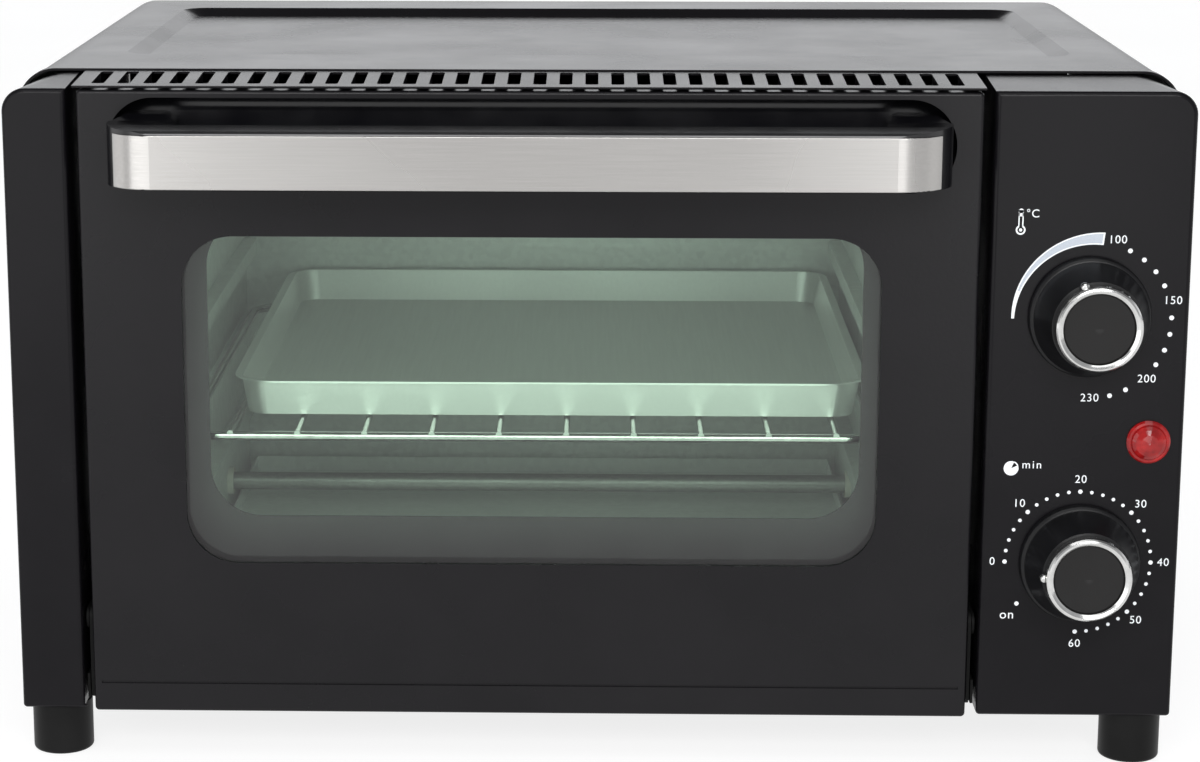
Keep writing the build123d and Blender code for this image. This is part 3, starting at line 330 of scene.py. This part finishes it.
def add_band(work, centre, start, end, inner, outer, steps=48):
    """Flat curved band; inner and outer give the radius for a share of the way, 0 to 1."""
    rows = []
    for i in range(steps + 1):
        share = i / steps
        degrees = start + (end - start) * share
        pair = [at_clock(centre, radius(share), degrees) for radius in (inner, outer)]
        rows.append([work.verts.new(p + Vector((0, dy, 0)))
                     for dy in (-INK_THICKNESS / 2, INK_THICKNESS / 2) for p in pair])
    for a, b in zip(rows, rows[1:]):
        work.faces.new((a[0], a[1], b[1], b[0]))
        work.faces.new((a[2], b[2], b[3], a[3]))
        work.faces.new((a[0], b[0], b[2], a[2]))
        work.faces.new((a[1], a[3], b[3], b[1]))
    work.faces.new((rows[0][0], rows[0][2], rows[0][3], rows[0][1]))
    work.faces.new((rows[-1][0], rows[-1][1], rows[-1][3], rows[-1][2]))


def temperature_angle(step):
    """Clockwise angle of the mark for 100 degrees plus ten times step; wider past the label for 200."""
    return 14.3 + 12.2 * step + (4.0 if step > 10 else 0.0)


def dial_dots(work):
    """A dot for every ten degrees and every two minutes; tens of minutes get a larger one."""
    for step in range(1, 13):
        if step not in (5, 10):
            place = at_clock(TEMPERATURE_SCALE, TEMPERATURE_RADIUS, temperature_angle(step))
            add_dot(work, place, 0.75 * MM)
    for i in range(31):
        radius = (0.7 if i % 5 == 0 else 0.57) * MM
        add_dot(work, at_clock(TIMER_SCALE, TIMER_RADIUS, 270 + 9 * i), radius)
    add_dot(work, at_clock(TIMER_SCALE, TIMER_RADIUS + 0.3 * MM, ON_ANGLE), 0.7 * MM)


def wedge_outer(share):
    return (24.75 + 3.0 * share ** 1.15) * MM


def heat_wedge(work):
    """Tapered band that swells outwards towards the first temperature."""
    add_band(work, TEMPERATURE_SCALE, 271.5, 366.5, lambda share: WEDGE_RADIUS, wedge_outer)


def heat_wedge_fill(work):
    """Greyer middle of the band, a hair proud of it."""
    border = 0.42 * MM
    add_band(work, TEMPERATURE_SCALE, 292, 365.4, lambda share: WEDGE_RADIUS + border,
             lambda share: wedge_outer(0.22 + 0.78 * share) - border)
    bmesh.ops.translate(work, vec=(0, -INK_THICKNESS / 2, 0), verts=work.verts)


def thermometer(work):
    """Bulb with a ring round it and a tube filled at its upper end."""
    x, z = THERMOMETER_AT
    add_band(work, (x, 0, z), 24, 336, lambda share: 1.0 * MM, lambda share: 1.5 * MM)
    for side in (-1, 1):
        add_bar(work, (x + side * 0.6 * MM, z + 3.3 * MM), (0.35 * MM, 4.0 * MM))
    add_bar(work, (x, z + 5.2 * MM), (1.5 * MM, 2.0 * MM))
    add_dot(work, Vector((x, INK_Y, z + 5.9 * MM)), 0.75 * MM)
    add_dot(work, Vector((x, INK_Y, z)), 0.5 * MM)


def add_bar(work, middle, size):
    scale = Matrix.Diagonal((size[0], INK_THICKNESS, size[1], 1))
    bmesh.ops.create_cube(work, size=1.0, matrix=Matrix.Translation((middle[0], INK_Y, middle[1])) @ scale)


def clock_icon(work):
    """Filled disc with a narrow piece left out at the upper right."""
    add_band(work, CLOCK_AT, 66, 384, lambda share: 0.02 * MM, lambda share: 2.3 * MM)
    add_band(work, CLOCK_AT, 24, 66, lambda share: 2.0 * MM, lambda share: 2.4 * MM, 12)


FACE_TURN = Matrix.Rotation(pi / 2, 4, "X")


def lettering(name, words, point, height, spacing=1.12):
    """Raised ink lettering standing on the panel, centred on a point."""
    curve = bpy.data.curves.new(name, "FONT")
    curve.body = words
    curve.size = height / 0.7
    curve.align_x = "CENTER"
    curve.align_y = "CENTER"
    curve.space_character = spacing
    curve.extrude = INK_THICKNESS / 2
    item = bpy.data.objects.new(name, curve)
    scene.collection.objects.link(item)
    item.matrix_world = Matrix.Translation(point) @ FACE_TURN
    finish_piece(item, "housing", MATERIALS["print_ink"])


def dial_lettering():
    """Numbers round both scales, and the words beside them."""
    labels = (("100", 15.4, 26.3), ("150", 75.3, 25.5), ("200", 136.0, 25.4), ("230", 179.3, 24.4))
    for words, angle, radius in labels:
        point = at_clock(TEMPERATURE_SCALE, radius * MM, angle)
        lettering("print_temperature_" + words, words, point, LETTER_HEIGHT)
    for minutes in range(0, 61, 10):
        point = at_clock(TIMER_SCALE, TIMER_RADIUS + 3.9 * MM, 270 + 4.5 * minutes)
        lettering(f"print_timer_{minutes}", str(minutes), point, LETTER_HEIGHT)
    on_point = at_clock(TIMER_SCALE, TIMER_RADIUS + 4.9 * MM, ON_ANGLE - 2.5)
    lettering("print_timer_on", "on", on_point, LETTER_HEIGHT * 1.15)
    lettering("print_degrees", "°C", Vector((133.4 * MM, INK_Y, 177.8 * MM)), LETTER_HEIGHT)
    lettering("print_minutes", "min", Vector((135.9 * MM, INK_Y, 98.6 * MM)), LETTER_HEIGHT, 1.25)


def dial_prints():
    """All the prints on the control panel."""
    drawings = (
        ("print_dots", dial_dots, "print_ink"),
        ("print_wedge", heat_wedge, "print_ink"),
        ("print_wedge_fill", heat_wedge_fill, "print_grey_ink"),
        ("print_thermometer", thermometer, "print_ink"),
        ("print_clock", clock_icon, "print_ink"),
    )
    for name, drawing, material in drawings:
        finish_piece(mesh_object(name, drawing), "housing", MATERIALS[material])
    dial_lettering()


# ---------------------------------------------------------------- small visual pieces

def solid_bar(work, low, high):
    """Box between two corners with lightly broken edges."""
    middle = (Vector(low) + Vector(high)) / 2
    size = Vector(high) - Vector(low)
    scale = Matrix.Diagonal((*size, 1))
    made = bmesh.ops.create_cube(work, size=1.0, matrix=Matrix.Translation(middle) @ scale)
    edges = {edge for vert in made["verts"] for edge in vert.link_edges}
    bmesh.ops.bevel(work, geom=list(edges), offset=min(size) * 0.25, segments=2, affect="EDGES")


def frame_edge(work):
    """Bright zinc strip along the top of the front frame: a painted highlight for the light line seen through the
    vent slots.
    """
    low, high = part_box("front_frame")
    inset = 1.5 * MM
    sheet = 0.7 * MM
    below, above = 0.15 * MM, 0.1 * MM
    solid_bar(work, (low.x + inset, low.y, high.z - below), (high.x - inset, low.y + sheet, high.z + above))


def small_pieces():
    # The zinc strip on the frame top is a painted highlight line, not a bare edge of the frame.
    finish_piece(mesh_object("frame_edge", frame_edge), "housing", MATERIALS["zinc"])


# ---------------------------------------------------------------- stage, lights, camera

def disc(work):
    bmesh.ops.create_circle(work, cap_ends=True, segments=96, radius=9.0)


def stage():
    """Pale light table, lit from below."""
    floor = mesh_object("studio_floor", disc)
    material, tree, shader = new_material("studio_floor")
    paper = noise(tree, object_space(tree), 3.0, 4.0)
    tree.links.new(mix_colour(tree, remap(tree, paper, 0, 1), (0.2, 0.2, 0.202), (0.24, 0.24, 0.24)),
                   shader.inputs["Base Color"])
    shader.inputs["Roughness"].default_value = 0.7
    shader.inputs["Emission Color"].default_value = (1, 1, 1, 1)
    shader.inputs["Emission Strength"].default_value = 0.82
    bump(tree, shader, noise(tree, object_space(tree), 400.0, 2.0), 0.05, 0.0002)
    floor.data.materials.append(material)


def world_light():
    """Surround: a bright wall low behind the oven, a fair one in front, dim sides, ceiling, horizon."""
    world = bpy.data.worlds.new("studio")
    scene.world = world
    world.use_nodes = True
    tree = world.node_tree
    background = tree.nodes["Background"]
    background.inputs["Color"].default_value = (0.97, 0.98, 1.0, 1)
    direction = add_node(tree, "ShaderNodeTexCoord")
    parts = add_node(tree, "ShaderNodeSeparateXYZ")
    tree.links.new(direction.outputs["Generated"], parts.inputs[0])
    behind = remap(tree, parts.outputs["Y"], 0, 1, (0.0, 0.4))
    low_behind = remap(tree, parts.outputs["Z"], 1.45, 0, (0.35, 0.55))
    horizon = remap(tree, parts.outputs["Z"], 0.2, 1.0, (0.02, 0.14))
    before = remap(tree, parts.outputs["Y"], 0.35, 0, (-0.4, 0.0))
    above_table = add_node(tree, "ShaderNodeMath", operation="MULTIPLY")
    tree.links.new(low_behind, above_table.inputs[0])
    tree.links.new(horizon, above_table.inputs[1])
    back_wall = add_node(tree, "ShaderNodeMath", operation="MULTIPLY")
    tree.links.new(behind, back_wall.inputs[0])
    tree.links.new(above_table.outputs[0], back_wall.inputs[1])
    walls = add_node(tree, "ShaderNodeMath", operation="ADD")
    tree.links.new(back_wall.outputs[0], walls.inputs[0])
    tree.links.new(before, walls.inputs[1])
    total = add_node(tree, "ShaderNodeMath", operation="ADD")
    tree.links.new(walls.outputs[0], total.inputs[0])
    total.inputs[1].default_value = 0.15
    tree.links.new(total.outputs[0], background.inputs["Strength"])


def soft_box(name, place, target, size, radiance):
    """Rectangular light; radiance is what a mirror would show of it."""
    light = bpy.data.lights.new(name, "AREA")
    light.shape = "RECTANGLE"
    light.size, light.size_y = size
    light.energy = radiance * pi * size[0] * size[1]
    item = bpy.data.objects.new(name, light)
    scene.collection.objects.link(item)
    item.location = place
    item.rotation_euler = (Vector(target) - Vector(place)).to_track_quat("-Z", "Y").to_euler()


def standing_box(name, azimuth, distance, width, height, radiance):
    """Upright soft box on the table; azimuth is counted from straight in front towards +X."""
    angle = radians(azimuth)
    centre = (0.12 if azimuth > 0 else -0.12, -0.12)
    x, y = centre[0] + distance * sin(angle), centre[1] - distance * cos(angle)
    z = height / 2 + 0.01
    soft_box(name, (x, y, z), (*centre, z), (width, height), radiance)


def lights():
    soft_box("top_box", (0.0, -0.7, 1.7), (0, 0, 0.1), (1.6, 0.9), 1.4)
    soft_box("front_box", (0.0, -1.6, 0.95), (0, -0.05, 0.1), (1.2, 0.55), 8.0)
    standing_box("left_box", -32, 0.6, 0.5, 0.5, 1.45)
    standing_box("left_fill", -88, 0.6, 0.35, 0.5, 0.45)
    standing_box("right_box", 11, 0.6, 0.15, 0.5, 1.8)
    standing_box("right_fill", 82, 0.6, 0.35, 0.5, 0.2)


def camera():
    """Long lens, a little left of centre, looking down on the oven."""
    data = bpy.data.cameras.new("camera")
    data.sensor_width = 36.0
    data.lens = 89.6
    data.shift_x = 0.0625
    data.shift_y = -0.0175
    item = bpy.data.objects.new("camera", data)
    scene.collection.objects.link(item)
    item.location = (-0.0006, -1.0178, 0.3304)
    item.rotation_euler = (radians(90 - 12.41), 0, radians(1.353))
    scene.camera = item


dress_cad_nodes()
dial_prints()
small_pieces()
stage()
world_light()
lights()
camera()
scene.view_settings.view_transform = "Standard"
